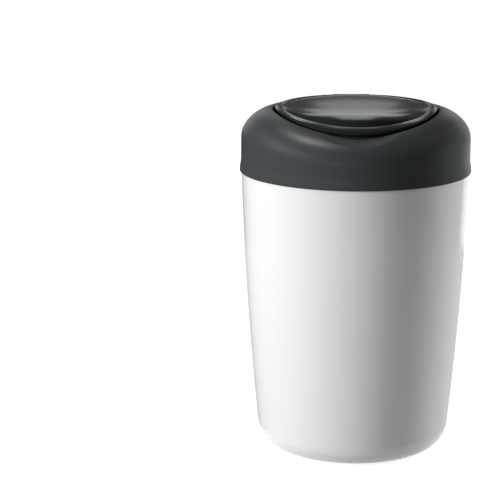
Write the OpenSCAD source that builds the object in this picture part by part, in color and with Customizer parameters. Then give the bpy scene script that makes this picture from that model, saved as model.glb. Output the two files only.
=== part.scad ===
// Nappy bin: a round white bucket with a lift-off grey hood. A film cassette drops into a
// cradle under the hood, its tube of film hangs through the cradle's neck, and a hinged lid
// with two seals closes over it. Millimetres, +Z up, front at -Y, origin under the base.

/* [Bucket] */
// Diameter over the hood's bottom edge, the widest place of the bin
bin_d = 255; // [212:1:306]
// Height of the bucket from the floor to the ledge that carries the hood
bucket_h = 312.5; // [260:0.5:375]
// How much smaller the base's radius is than the radius at the ledge
base_inset = 21.6; // [10:0.2:26]
// How far the side bows out at half height
belly = 3.2; // [0:0.1:6]
// Radius of the rounded corner at the base
base_round = 25.3; // [12:0.1:32]
// Wall of the bucket
bucket_wall = 2.6; // [1.8:0.1:4]
// How far the hood's edge stands out over the bucket
overhang = 2.1; // [1:0.1:2.6]
// Height of the collar that stands up inside the hood
collar_h = 14; // [8:0.5:20]

/* [Hood] */
// Wall of the hood
hood_wall = 2.6; // [2:0.1:3.4]
// How far the upright wall stands in from the bottom edge
flare = 1.45; // [0.5:0.05:3]
// Height over which the bottom edge flares out
flare_h = 15; // [8:0.5:20]
// Height of the upright wall above the ledge
upright_h = 36.9; // [24:0.1:42]
// How far the lid's outer edge falls from the middle of the bin to the front
front_dip = 15.6; // [8:0.1:19]
// Depth of the finger scoop below the opening's front edge
scoop_depth = 2.6; // [1:0.1:4]
// Half the width of the finger scoop at the opening
scoop_half_w = 36.8; // [24:0.2:46]

/* [Lid] */
// Wall of the lid's shell
lid_wall = 2.4; // [1.6:0.1:2.8]
// Gap between the lid's edge and the opening in the hood
lid_gap = 2.4; // [1.5:0.1:4]
// How far the lid's edge stands above the hood's edge
lid_stand = 2.4; // [1.8:0.1:5]
// Height of the domed crown over the lid's edge
crown_h = 8.5; // [5:0.1:10.2]
// Width of the sloping lip between the groove and the edge
lip_w = 6.4; // [5:0.1:8]
// Diameter of the hinge pin
pin_d = 4; // [3:0.1:4.8]

/* [Cassette] */
// Outer diameter of the film cassette
cassette_d = 160; // [134:1:192]
// Height of the film cassette
cassette_h = 40; // [33:0.5:48]
// Diameter of the hole that nappies are pushed through
bore_d = 112; // [100:1:120]
// Wall of the cassette
cassette_wall = 1.6; // [1.2:0.1:2.2]

/* [Cradle] */
// Wall of the cradle
cradle_wall = 2.2; // [1.6:0.1:3]
// Outer diameter of the neck that the film hangs through
neck_d = 102; // [86:1:106]
// How far the neck reaches below the hood's bottom edge
neck_drop = 10; // [6:0.5:20]
// Length of film tube that hangs below the neck, down to its knot
film_drop = 106; // [88:1:127]

/* [Fits] */
// Gap between the bucket's collar and the hood
collar_gap = 0.4; // [0.3:0.05:0.8]
// Gap round the cassette in the cradle
cassette_gap = 1; // [0.6:0.1:1.6]
// Gap between moving pieces that pass each other
pass_gap = 0.3; // [0.2:0.05:0.5]
// Radial play of the pin in the lid's knuckle
pin_play = 0.08; // [0.04:0.01:0.1]
// Radial play of a pin or screw in the piece that holds it
hold_play = 0.03; // [0.02:0.01:0.1]

/* [Hidden] */
$fn = 96;
steps = 72;                 // columns round the lofted hood and lid
hood_grey = "#4a4f51";
lid_grey = "#54595a";
trim_grey = "#34383a";

// Bucket and hood radii, from the outside in
hood_r = bin_d / 2;
upright_r = hood_r - flare;
hood_in_r = upright_r - hood_wall;
ledge_r = hood_r - overhang;
collar_r = hood_in_r - collar_gap;
foot_h = 2.5;               // depth of the hollow under the base
floor_t = 3.2;              // bucket's floor over that hollow

// Heights, from the ledge up
ledge_z = bucket_h;
cradle_z = ledge_z + 3.5;                       // upper face of the cradle's floor
cassette_top = cradle_z + cassette_h;
land_z = cassette_top + 2;                      // flat ring round the cassette's well
scoop_z = land_z + hood_wall + 1.1;             // lowest place of the scoop's edge
front_edge_z = scoop_z + scoop_depth;           // the hood's opening, at the front
cassette_r = cassette_d / 2;
well_r = cassette_r + cassette_gap;
land_w = 10;                                    // from the well out to the opening
open_r = well_r + land_w;
lid_r = open_r - lid_gap;
edge_z = front_edge_z + drop_at(-open_r);       // the hood's opening, at sides and back
rim_z = edge_z + lid_stand;                     // the lid's edge, at sides and back
shoulder_z = ledge_z + upright_h;               // foot of the shoulder, at sides and back
shoulder_share = 0.8;                           // how much of the dip that foot follows
edge_round = 1.5;                               // rounding of the hood's opening
throat_wall = 2.4;                              // wall that hangs from the opening

// Finger scoop and hinge recess, two shallow valleys across the shoulder
scoop_fall = 0.216;                             // slope of the scoop's floor, outwards
scoop_side_y = -sqrt(pow(open_r, 2) - pow(scoop_half_w, 2));
scoop_rise = (edge_z - drop_at(scoop_side_y) - scoop_z - scoop_fall * (open_r + scoop_side_y))
    / pow(scoop_half_w, 2);
recess_half_w = 30;
recess_depth = 8.7;

// Hinge
hinge_y = open_r + 4;
hinge_z = edge_z - 1.2;
knuckle_r = pin_d / 2 + 1.6;
knuckle_half_w = 14;
ear_w = 6;
ear_out = knuckle_half_w + pass_gap + ear_w;    // outer face of an ear

// Lid's shell, from the rim inwards
lip_r = lid_r - lip_w;                          // crest of the inner ridge
groove_w = 1.6;
groove_depth = 1.7;
crown_r = lip_r - 0.6 - groove_w;               // foot of the crown
crown_edge = 8;                                 // how square the crown's edge is
ridge_h = 1.7;                                  // crest of the ridge over the lid's edge
ridge_dip = front_dip * 0.75;                   // fall of the ridge towards the front
skirt_r = crown_r + 1.4;                        // outside of the skirt under the groove
liner_top = land_z + 5.4;
liner_t = 2.4;
liner_r = well_r + 5;
liner_z = liner_top - liner_t;                  // underside of the liner's rim
dish_r = bore_d / 2 - 4;                        // raised middle of the liner
dish_h = 5.6;
seal_w = 2.4;
rib_w = 0.7;
rib_h = 1.2;
outer_seal_r = well_r + 1.6;                    // inside of the outer seal
inner_seal_r = (bore_d / 2 + cassette_r) / 2 - 5.4;

// Cutter in the liner's dish
cutter_l = 30;
cutter_w = 10;
cutter_flange = 2;
cutter_t = 1.4;
cutter_h = 7;
slot_l = 22;
slot_w = 3;
blade_t = 0.4;
blade_l = 24;

// Cradle, screws and neck
bore_r = bore_d / 2;
neck_r = neck_d / 2;
neck_z = ledge_z - neck_drop;
flange_r = open_r + throat_wall + 1.6;
screw_r = 1.5;
screw_l = 9;
screw_head_r = 3;
screw_head_h = 2;
boss_r = 3.6;
boss_at = open_r + throat_wall + boss_r;
screw_angles = [45, 135, 225, 315];

// Film
film_t = 0.5;
inner_wall_z = cassette_top - 5.5;              // top of the cassette's inner wall
pack_top = inner_wall_z - 1.4;
pleats = 12;

// Height that the lid's edge has lost at the plan position y, which is only so at the front
function drop_at(y) = front_dip * pow(min(0, y) / lid_r, 2);
function smooth(u) = u * u * (3 - 2 * u);
function turn(r, a) = [r * cos(a), r * sin(a)];

// Outer radius of the bucket at the height z
function side_r(z) = let (t = z / bucket_h)
    ledge_r - base_inset * (1 - t) + 4 * belly * t * (1 - t);
// How far a corner of radius q draws the wall in at the height h above it
function corner(h, q) = h >= q ? 0 : q * (1 - sin(acos(1 - h / q)));

// Height of the valley floors: the finger scoop at the front, the hinge recess at the back
function valley(x, y) = y < 0
    ? scoop_z + scoop_fall * (y + open_r) + scoop_rise * x * x
    : edge_z - recess_depth * (1 - pow(x / recess_half_w, 2));
// Height of the shoulder's own curve at azimuth a, from its foot (t = 0) to the opening (90)
function curve_z(a, t, skin) =
    let (fall = drop_at(open_r * sin(a)),
         foot = max(ledge_z + flare_h + 2, shoulder_z - shoulder_share * fall))
    foot + (edge_z - fall - skin - foot) * sin(t);
// Point of the hood's shoulder, lowered where a valley crosses it
function shoulder(a, t, skin) =
    let (in_r = skin > 0 ? open_r + throat_wall : open_r + edge_round,
         r = in_r + (upright_r - skin - in_r) * pow(cos(t), 1.2),
         p = turn(r, a))
    [r, min(curve_z(a, t, skin), valley(p[0], p[1]) - skin), t];
// True where the valley lies below the shoulder's own curve
function in_valley(a, t) =
    let (r = open_r + edge_round + (upright_r - open_r - edge_round) * pow(cos(t), 1.2),
         p = turn(r, a))
    valley(p[0], p[1]) < curve_z(a, t, 0);
// The t at which the shoulder runs into a valley, so that a row of facets follows the crease
last_t = 80;
function crease(a, low = 0, high = last_t, n = 12) =
    !in_valley(a, last_t) ? last_t
    : n == 0 ? high
    : let (mid = (low + high) / 2) in_valley(a, mid) ? crease(a, low, mid, n - 1)
    : crease(a, mid, high, n - 1);

// Section of the hood at azimuth a, round the whole wall
function hood_section(a) =
    let (c = crease(a), e = shoulder(a, 90, 0), outer = 9, inner = 4)
    concat(
        [[hood_in_r, ledge_z], [hood_r - 0.6, ledge_z], [hood_r - 0.1, ledge_z + 0.4]],
        [for (i = [0:4]) let (u = i / 4)
            [hood_r - flare * smooth(u), ledge_z + 1.2 + (flare_h - 1.2) * u]],
        [for (i = [0:outer]) shoulder(a, c * i / outer, 0)],
        [for (i = [1:inner]) shoulder(a, c + (90 - c) * i / inner, 0)],
        [for (q = [30:30:90]) [e[0] - edge_round * sin(q), e[1] - edge_round * (1 - cos(q))]],
        [[open_r, land_z], [open_r + throat_wall, land_z]],
        [for (i = [7:-1:0]) shoulder(a, 90 * i / 7, hood_wall)]);

// Heights of the lid at azimuth a: outer edge, inner ridge and the floor of the groove
function lip_z(a) = rim_z - drop_at(lid_r * sin(a));
function ridge_z(a) = rim_z + ridge_h - ridge_dip * pow(max(0, -sin(a)), 1.6);
function groove_z(a) = ridge_z(a) - groove_depth;
// Point of the crown at the share s of its radius, for a skin that far under the surface
function crown(a, s, skin) =
    let (r = (crown_r - skin) * s,
         dome = rim_z + crown_h * (1 - pow(r / lid_r, 2)) - skin,
         foot = groove_z(a) - skin)
    [r, foot + (dome - foot) * sqrt(max(0, 1 - pow(s, crown_edge)))];

// Section of the lid's shell at azimuth a, from the middle below to the middle of its top
function lid_section(a) =
    let (g = groove_z(a), ridge = ridge_z(a), edge = lip_z(a), q = 1.3, rows = 12)
    concat(
        [for (i = [1:8]) crown(a, sin(90 * i / 8), lid_wall)],
        [[skirt_r - lid_wall, g - lid_wall], [skirt_r - lid_wall, liner_top],
         [skirt_r, liner_top], [skirt_r, g - lid_wall],
         [lid_r - 0.8, edge - lid_wall - 0.2], [lid_r, edge - lid_wall]],
        [for (i = [3:-1:0]) [lid_r - q * (1 - sin(30 * i)), edge + 0.2 - q * (1 - cos(30 * i))]],
        [[(lip_r + lid_r) / 2, (ridge + edge) / 2 + 0.5], [lip_r + 1, ridge - 0.1],
         [lip_r + 0.2, ridge], [lip_r - 0.4, g + 0.75 * groove_depth], [crown_r + groove_w, g]],
        [for (i = [rows:-1:1]) crown(a, sin(90 * i / rows), 0)]);

// Solid whose section changes from column to column: a closed ring, or one with two poles
module lofted(sections, poles = []) {
    n = len(sections);
    m = len(sections[0]);
    closed = len(poles) == 0;
    points = [for (j = [0:n - 1]) for (p = sections[j])
        let (q = turn(p[0], 360 * j / n)) [q[0], q[1], p[1]]];
    walls = [for (j = [0:n - 1]) for (i = [0:(closed ? m - 1 : m - 2)])
        let (k = (j + 1) % n, a = j * m + i, b = j * m + (i + 1) % m,
             c = k * m + (i + 1) % m, d = k * m + i)
        each [[a, b, c], [a, c, d]]];
    caps = closed ? [] : [for (j = [0:n - 1]) let (k = (j + 1) % n)
        each [[n * m, j * m, k * m], [n * m + 1, k * m + m - 1, j * m + m - 1]]];
    polyhedron(concat(points, [for (z = poles) [0, 0, z]]), concat(walls, caps));
}

module ring(inner, outer, z, h) {
    translate([0, 0, z]) difference() {
        cylinder(r = outer, h = h);
        translate([0, 0, -1]) cylinder(r = inner, h = h + 2);
    }
}

module along_x(r, x0, x1) {
    translate([x0, hinge_y, hinge_z]) rotate([0, 90, 0]) cylinder(r = r, h = x1 - x0, $fn = 48);
}

// White bucket: rounded base on a foot ring, bowed side, ledge and collar for the hood
module bucket() {
    bottom = foot_h + floor_t;
    in_round = base_round - bucket_wall;
    in_top = ledge_z - 5;
    foot_r = side_r(0) - base_round;
    color("white") rotate_extrude($fn = 144) polygon(concat(
        [[0, foot_h], [foot_r - 8, foot_h], [foot_r - 7, 0]],
        [for (i = [0:8]) let (z = base_round * (1 - cos(90 * i / 8)))
            [side_r(z) - corner(z, base_round), z]],
        [for (i = [1:12]) let (z = base_round + (ledge_z - base_round) * i / 12) [side_r(z), z]],
        [[collar_r, ledge_z], [collar_r, ledge_z + collar_h - 1],
         [collar_r - 0.5, ledge_z + collar_h], [collar_r - bucket_wall + 0.6, ledge_z + collar_h],
         [collar_r - bucket_wall, ledge_z + collar_h - 1],
         [collar_r - bucket_wall, ledge_z - 1]],
        [for (i = [12:-1:0]) let (z = bottom + in_round + (in_top - bottom - in_round) * i / 12)
            [side_r(z) - bucket_wall, z]],
        [for (i = [7:-1:0]) let (h = in_round * (1 - cos(90 * i / 8)))
            [side_r(bottom + h) - bucket_wall - corner(h, in_round), bottom + h]],
        [[0, bottom]]));
}

// Grey hood: lofted shell with the hinge's ears and the bosses for the cradle's screws
module hood() {
    color(hood_grey) difference() {
        union() {
            lofted([for (j = [0:steps - 1]) hood_section(360 * j / steps)]);
            for (s = [-1, 1]) {
                ear_x = s * (ear_out - ear_w / 2);
                along_x(knuckle_r, ear_x - ear_w / 2, ear_x + ear_w / 2);
                translate([ear_x - ear_w / 2, hinge_y - knuckle_r, edge_z - recess_depth + 0.4])
                    cube([ear_w, 2 * knuckle_r, recess_depth - 0.4 - edge_z + hinge_z]);
            }
            for (a = screw_angles) rotate(a) translate([boss_at, 0, land_z])
                cylinder(r = boss_r, h = boss_top(a) - land_z, $fn = 32);
        }
        along_x(pin_d / 2 + hold_play, -ear_out - 1, ear_out + 1);
        for (a = screw_angles) rotate(a) translate([boss_at, 0, land_z - 1])
            cylinder(r = screw_r + hold_play, h = screw_l - cradle_wall + 1, $fn = 32);
    }
}
// A boss ends inside the hood's wall, where its outer side meets the shoulder
function boss_top(a) =
    let (r = boss_at + boss_r, in_r = open_r + edge_round,
         t = acos(pow((r - in_r) / (upright_r - in_r), 1 / 1.2)))
    shoulder(a, t, 0)[1] - hood_wall / 2;

// Cradle: a well for the cassette that narrows to the neck, hung from the hood by its flange
module cassette_cradle() {
    w = cradle_wall;
    under = cradle_z - w;
    funnel_z = cradle_z - 7;
    color(trim_grey) difference() {
        union() {
            rotate_extrude() polygon([
                [bore_r, cradle_z], [well_r, cradle_z], [well_r, land_z - 0.8],
                [well_r + 0.8, land_z], [flange_r, land_z], [flange_r, land_z - w],
                [well_r + w, land_z - w], [well_r + w, under], [bore_r + w, under],
                [neck_r, funnel_z - 1], [neck_r, neck_z + 1.6], [neck_r + 0.9, neck_z + 0.8],
                [neck_r + 0.2, neck_z], [neck_r - w + 0.6, neck_z], [neck_r - w, neck_z + 0.6],
                [neck_r - w, funnel_z]]);
            for (a = screw_angles) rotate(a) translate([boss_at, 0, land_z - w])
                cylinder(r = boss_r + 0.8, h = w, $fn = 48);
            // ribs that centre the cassette, and webs that stiffen the flange
            for (a = [0:90:270]) rotate(a) translate([well_r - 0.6, -1, cradle_z - 0.1])
                cube([1, 2, cassette_h - 4]);
            for (a = [30:60:330]) rotate(a) translate([well_r + w - 0.2, w / 2, land_z - w])
                rotate([90, 0, 0]) linear_extrude(w)
                    polygon([[0, 0.1], [flange_r - well_r - w - 1, 0.1], [0, -14]]);
        }
        for (a = screw_angles) rotate(a) translate([boss_at, 0, land_z - w - 1])
            cylinder(r = screw_r + 0.3, h = w + 2, $fn = 32);
    }
}

// Four pan-head screws, driven up through the flange into the hood's bosses
module cradle_screws() {
    seat = land_z - cradle_wall;
    color("silver") for (a = screw_angles) rotate(a) translate([boss_at, 0, 0])
        rotate_extrude($fn = 32) polygon([
            [0, seat - screw_head_h], [screw_head_r - 0.8, seat - screw_head_h],
            [screw_head_r, seat - screw_head_h + 0.8], [screw_head_r, seat], [screw_r, seat],
            [screw_r, seat + screw_l - 1.4], [0.4, seat + screw_l - 0.4],
            [0, seat + screw_l - 0.4]]);
}

// Steel pin through both ears and the lid's knuckle, with a head on one side
module hinge_pin() {
    color("silver") {
        along_x(pin_d / 2, -ear_out, ear_out + 0.6);
        along_x(pin_d / 2 + 0.9, -ear_out - 1.2, -ear_out);
    }
}

// Lid's shell: domed crown, groove, sloping lip, inner skirt, and the hinge's knuckle
module lid_shell() {
    mid = rim_z + crown_h;
    tongue_z = hinge_z - 1.6;
    tongue_y = skirt_r - lid_wall - 1;
    color(lid_grey) difference() {
        union() {
            lofted([for (j = [0:steps - 1]) lid_section(360 * j / steps)], [mid - lid_wall, mid]);
            along_x(knuckle_r, -knuckle_half_w, knuckle_half_w);
            translate([-knuckle_half_w, tongue_y, tongue_z])
                cube([2 * knuckle_half_w, hinge_y - tongue_y, hinge_z + knuckle_r - tongue_z]);
        }
        along_x(pin_d / 2 + pin_play, -knuckle_half_w - 1, knuckle_half_w + 1);
    }
}

// Flat inner lid: rim with ribs that hold the seals, and a raised dish with the cutter's slot
module lid_liner() {
    fit_r = skirt_r - lid_wall - 0.2;
    color(trim_grey) difference() {
        union() {
            rotate_extrude() polygon([
                [0, liner_z + dish_h], [dish_r, liner_z + dish_h], [dish_r + 1.2, liner_z],
                [liner_r - 0.5, liner_z], [liner_r, liner_z + 0.5], [liner_r, liner_top],
                [fit_r, liner_top], [fit_r, liner_top + 4.4], [fit_r - liner_t, liner_top + 4.4],
                [fit_r - liner_t, liner_top], [dish_r + 1.2 + liner_t, liner_top],
                [dish_r + liner_t, liner_top + dish_h], [0, liner_top + dish_h]]);
            for (r = [outer_seal_r, inner_seal_r]) {
                ring(r - rib_w, r, liner_z - rib_h, rib_h + 0.2);
                ring(r + seal_w, r + seal_w + rib_w, liner_z - rib_h, rib_h + 0.2);
            }
        }
        translate([0, 0, liner_z + dish_h - 1]) slot(cutter_l, cutter_w, liner_t + 2);
    }
}

// Upright block with half-round ends, standing on z = 0
module slot(l, w, h) {
    translate([-(l - w) / 2, -w / 2, 0]) cube([l - w, w, h]);
    for (s = [-1, 1]) translate([s * (l - w) / 2, 0, 0]) cylinder(d = w, h = h, $fn = 48);
}

// Soft ring between its two ribs, its lip just above the face at z that it closes on
module seal(inner, z) {
    color("#8c9192") rotate_extrude() polygon([
        [inner, liner_z], [inner + seal_w, liner_z], [inner + seal_w, liner_z - rib_h],
        [inner + seal_w + 1, z + pass_gap + 0.5], [inner + seal_w + 0.6, z + pass_gap],
        [inner + seal_w - 0.4, z + pass_gap], [inner + seal_w - 1.2, liner_z - rib_h - 0.8],
        [inner + 0.4, liner_z - rib_h - 0.8], [inner, liner_z - rib_h]]);
}
module outer_seal() { seal(outer_seal_r, land_z); }
module inner_seal() { seal(inner_seal_r, cassette_top); }

// Boat-shaped insert in the liner: the film is drawn along its slot, over the blade
module cutter_housing() {
    face = liner_z + dish_h;
    color("#6d7374") difference() {
        union() {
            translate([0, 0, face - cutter_t])
                slot(cutter_l + 2 * cutter_flange, cutter_w + 2 * cutter_flange, cutter_t);
            translate([0, 0, face - 0.1]) slot(cutter_l - 0.1, cutter_w - 0.1, cutter_h);
        }
        translate([-slot_l / 2, -slot_w / 2, face - cutter_t - 1])
            cube([slot_l, slot_w, cutter_h - 1]);
        translate([-blade_l / 2, -blade_t / 2, face]) cube([blade_l, blade_t, cutter_h - 2.4]);
    }
}

// Thin steel blade with a slanting edge, held by its ends in the housing
module cutter_blade() {
    face = liner_z + dish_h;
    color("silver") translate([0, blade_t / 2, face]) rotate([90, 0, 0]) linear_extrude(blade_t)
        polygon([[-blade_l / 2, 0.6], [-slot_l / 2 + 1, 0.6], [slot_l / 2 - 1, cutter_h - 4.4],
            [blade_l / 2, cutter_h - 4.4], [blade_l / 2, cutter_h - 2.4],
            [-blade_l / 2, cutter_h - 2.4]]);
}

// Cassette's ring-shaped tray: outer wall, floor, and the inner wall that the film runs over
module cassette_body() {
    w = cassette_wall;
    top = cassette_top - 2.5;
    color("white") rotate_extrude() polygon([
        [bore_r + 0.6, cradle_z], [cassette_r - 1.2, cradle_z], [cassette_r, cradle_z + 1.2],
        [cassette_r, top], [cassette_r - w, top], [cassette_r - w, cradle_z + w],
        [bore_r + w, cradle_z + w], [bore_r + w, inner_wall_z - 0.5],
        [bore_r + w - 0.5, inner_wall_z], [bore_r + 0.5, inner_wall_z],
        [bore_r, inner_wall_z - 0.5], [bore_r, cradle_z + 0.6]]);
}

// Cassette's cap: clips inside the outer wall and leaves a ring-shaped gap for the film
module cassette_cap() {
    w = cassette_wall;
    top = cassette_top - 2.5;
    in_r = bore_r + w + 2.6;
    clip_r = cassette_r - w - 0.05;
    color("#9fb3b5") rotate_extrude() polygon([
        [in_r, top - 1.4], [in_r + w, top - 1.4], [in_r + w, cassette_top - w],
        [clip_r - w, cassette_top - w], [clip_r - w, top - 3], [clip_r, top - 3],
        [clip_r, top], [cassette_r, top], [cassette_r, cassette_top - 0.8],
        [cassette_r - 0.8, cassette_top], [in_r + 0.8, cassette_top],
        [in_r, cassette_top - 0.8]]);
}

// Folded stock of film in the tray, pleated like a bellows on its inner side
module film_pack() {
    out_r = cassette_r - cassette_wall - 1.9;
    in_r = bore_r + cassette_wall + 1.4;
    low = cradle_z + cassette_wall + pass_gap;
    pitch = (pack_top - low) / pleats;
    color("aliceblue") rotate_extrude() polygon(concat(
        [[out_r, low], [out_r, pack_top]],
        [for (i = [pleats:-1:0]) each [
            [in_r, low + pitch * i],
            if (i > 0) [in_r + 1.4, low + pitch * (i - 0.5)]]]));
}

// Tube of film: out of the cassette, over its inner wall, through the neck, and knotted
module film_sleeve() {
    start_r = bore_r + cassette_wall + 1.4;
    wall_r = bore_r - pass_gap - film_t;
    gap_r = min(wall_r, neck_r - cradle_wall - pass_gap - film_t);
    end_z = neck_z - film_drop;
    path = concat(
        [[start_r, pack_top + pass_gap], [start_r - 0.2, inner_wall_z],
         [start_r - 1, inner_wall_z + 1.1], [wall_r + 0.5, inner_wall_z + 0.9],
         [wall_r, inner_wall_z], [wall_r, cradle_z + 1.4], [gap_r, cradle_z - 6],
         [gap_r, neck_z], [gap_r + 2, neck_z - 8]],
        [for (i = [1:8]) let (u = i / 8)
            [(gap_r + 2) * pow(cos(82 * u), 0.9), neck_z - 8 - (film_drop - 8) * u]]);
    last = len(path) - 1;
    knot_z = end_z - 8;
    color("aliceblue") rotate_extrude($fn = 72) polygon(concat(
        [for (i = [0:last]) path[i] + film_t * outward(path, i)],
        [for (q = [45:30:135]) [9 * sin(q), knot_z + 9 * cos(q)]],
        [[5, knot_z - 9], [8, knot_z - 20], [8, knot_z - 22], [0, knot_z - 22], [0, end_z]],
        [for (i = [last:-1:0]) path[i]]));
}
// Unit normal of a path at its point i, on the left of the way it runs
function outward(path, i) =
    let (d = path[min(i + 1, len(path) - 1)] - path[max(i - 1, 0)])
    [-d[1], d[0]] / norm(d);

bucket();
hood();
cassette_cradle();
cradle_screws();
hinge_pin();
lid_shell();
lid_liner();
outer_seal();
inner_seal();
cutter_housing();
cutter_blade();
cassette_body();
cassette_cap();
film_pack();
film_sleeve();
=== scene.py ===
# %% [markdown]
# # A nappy bin, modelled step by step
#
# The bin has three mouldings that show: a tall white bucket, a grey hood that sits on it, and a
# grey lid with a finger scoop in front of it. Inside hang the cradle, the film cassette and its
# tube of film. The CAD model holds every size and every hinge. This script dresses it: it models
# the pieces that need a finer or softer shape, and gives each piece its finish.
#
# All sizes below are in millimetres, as on a drawing, and turned into metres where Blender needs
# them. Up is +Z, and the front of the bin looks towards -Y.

import math

import bpy
import numpy as np
from mathutils import Matrix, Vector


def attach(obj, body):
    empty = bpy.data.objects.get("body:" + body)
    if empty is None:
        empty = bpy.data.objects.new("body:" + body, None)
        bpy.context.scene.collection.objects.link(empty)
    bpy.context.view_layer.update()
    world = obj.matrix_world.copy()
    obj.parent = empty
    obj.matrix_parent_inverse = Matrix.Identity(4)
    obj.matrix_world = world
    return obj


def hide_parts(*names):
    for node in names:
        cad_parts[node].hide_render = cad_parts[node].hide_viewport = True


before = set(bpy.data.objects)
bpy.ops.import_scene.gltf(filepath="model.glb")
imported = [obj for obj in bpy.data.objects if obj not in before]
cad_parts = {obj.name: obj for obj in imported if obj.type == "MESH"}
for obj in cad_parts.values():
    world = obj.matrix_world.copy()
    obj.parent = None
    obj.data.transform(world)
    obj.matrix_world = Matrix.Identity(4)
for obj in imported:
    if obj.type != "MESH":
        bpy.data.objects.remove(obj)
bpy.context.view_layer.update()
MM = 0.001
print("nodes:", ", ".join(sorted(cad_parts)))

# %% [markdown]
# ## Camera
#
# The photograph was taken with a long lens from a little above the bin. A camera can be placed by
# hand with its location and rotation, or built from the three directions that it faces along.
# The second way is used here, because those directions were worked out from the round rims seen
# in the photograph. The whole set-up then turns a few degrees about the bin, until the scoop
# stands where the photograph shows it.

# %% Place the camera
CAMERA_BACK, CAMERA_UP, LENS, SENSOR = 2175.9 * MM, 710.4 * MM, 149.87, 36
PAN, TILT, ORBIT = math.radians(-3.352), math.radians(12.396), math.radians(-3.3)

orbit = Matrix.Rotation(ORBIT, 3, "Z")
ahead = orbit @ Vector(
    (math.sin(PAN) * math.cos(TILT), math.cos(PAN) * math.cos(TILT), -math.sin(TILT))
)
sideways = orbit @ Vector((math.cos(PAN), -math.sin(PAN), 0))
camera_data = bpy.data.cameras.new("camera")
camera_data.lens, camera_data.sensor_width = LENS, SENSOR
camera = bpy.data.objects.new("camera", camera_data)
bpy.context.collection.objects.link(camera)
turn = Matrix((sideways, sideways.cross(ahead), -ahead)).transposed()
place = orbit @ Vector((0, -CAMERA_BACK, CAMERA_UP))
camera.matrix_world = Matrix.Translation(place) @ turn.to_4x4()
bpy.context.scene.camera = camera
bpy.context.scene.view_settings.view_transform = "Standard"
print("camera at", [round(c, 3) for c in place])

# %% [markdown]
# ## Helpers for nodes and primitives
#
# Materials, the world and the shader groups are all trees of nodes. One helper makes a node, sets
# what it is told and links whatever is already a socket, which keeps each tree short enough to
# read from top to bottom. Every mesh starts as a primitive, as when Shift-A is pressed. An operator
# acts on all that is selected, so everything is deselected first.


# %% Make a node, or a group with named sockets
def add(tree, kind, settings=None, **inputs):
    """Adds a node; inputs are values or sockets by name, and in_0, in_1 ... by number."""
    made = tree.nodes.new("ShaderNode" + kind)
    for key, value in (settings or {}).items():
        setattr(made, key, value)
    for key, value in inputs.items():
        numbered = key.startswith("in_")
        socket = made.inputs[int(key[3:]) if numbered else key.replace("_", " ")]
        if isinstance(value, bpy.types.NodeSocket):
            tree.links.new(value, socket)
        else:
            socket.default_value = value
    return made


def maths(tree, operation, *values):
    """One Math node on two or three values, and its result."""
    inputs = {f"in_{i}": value for i, value in enumerate(values)}
    return add(tree, "Math", {"operation": operation}, **inputs).outputs[0]


def times(tree, a, b):
    """The product of two values."""
    return maths(tree, "MULTIPLY", a, b)


def ramp(tree, value, low, high, start=0.0, end=1.0):
    """A straight ramp from the start, at the low value, to the end, at the high one."""
    limits = {"From_Min": low, "From_Max": high, "To_Min": start, "To_Max": end}
    return add(tree, "MapRange", Value=value, **limits).outputs[0]


def plug(tree, sockets, **values):
    """Links values to the named sockets of a shader or of a group's output."""
    for key, value in values.items():
        tree.links.new(value, sockets[key.replace("_", " ")])


def new_group(name, inputs, outputs):
    """An empty shader group: inputs are (name, default), outputs are (name, socket type)."""
    tree = bpy.data.node_groups.new(name, "ShaderNodeTree")
    for label, default in inputs:
        socket = tree.interface.new_socket(label, in_out="INPUT", socket_type="NodeSocketFloat")
        socket.default_value = default
    for label, kind in outputs:
        tree.interface.new_socket(label, in_out="OUTPUT", socket_type="NodeSocket" + kind)
    return tree, tree.nodes.new("NodeGroupInput").outputs, tree.nodes.new("NodeGroupOutput").inputs


def use_group(tree, name, **values):
    """Places a shader group in a material with the values that this finish needs."""
    made = tree.nodes.new("ShaderNodeGroup")
    made.node_tree = bpy.data.node_groups[name]
    for key, value in values.items():
        made.inputs[key.replace("_", " ")].default_value = value
    return made.outputs


# %% Add a primitive
def primitive(operator, name, **settings):
    """Adds a primitive with nothing else selected, and puts its place into its mesh."""
    bpy.ops.object.select_all(action="DESELECT")
    operator(**settings)
    made = bpy.context.object
    made.name = made.data.name = name
    bpy.ops.object.transform_apply(location=True, rotation=True, scale=True)
    return made


# %% [markdown]
# ## World, floor and lamps
#
# The photograph is a studio picture on white. A large soft lamp on the left gives the bucket its
# bright side, one at the back right lifts the right edge, and the front right stays dark. The same
# lamps could give the highlights as well, but shade and gloss are then hard to set apart, so some
# lamps here give shade only and some show as highlights only. A photographer also hangs dark cloths
# out of the picture, so that shiny plastic doesn't mirror the white room all round, and the same is
# done here. What the camera sees is plain white, and the floor keeps its shadow.

# %% World and floor
WORLD_LIGHT = 0.06
FLOOR_BOUNCE = 0.55  # how much light the floor gives back to the bin
GLOW_NEAR, GLOW_FAR = 0.84, 1.0  # makes the floor white, but for a soft shadow near the bin
GLOW_START, GLOW_END = 0.15, 1.1  # distances from the bin, in m
WHITE = (1, 1, 1, 1)


def seen_directly(tree):
    """1 for rays that show the background: camera, mirror and see-through rays."""
    path = add(tree, "LightPath").outputs
    shiny = maths(tree, "MAXIMUM", path["Is Glossy Ray"], path["Is Transmission Ray"])
    return maths(tree, "MAXIMUM", path["Is Camera Ray"], shiny)


world = bpy.data.worlds.new("studio")
bpy.context.scene.world = world
world.use_nodes = True
tree = world.node_tree
tree.nodes.clear()
soft = add(tree, "Background", Color=(0.94, 0.97, 1, 1), Strength=WORLD_LIGHT)
white = add(tree, "Background", Color=WHITE, Strength=1)
mixed = add(
    tree, "MixShader", in_0=seen_directly(tree), in_1=soft.outputs[0], in_2=white.outputs[0]
)
add(tree, "OutputWorld", Surface=mixed.outputs[0])


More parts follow.
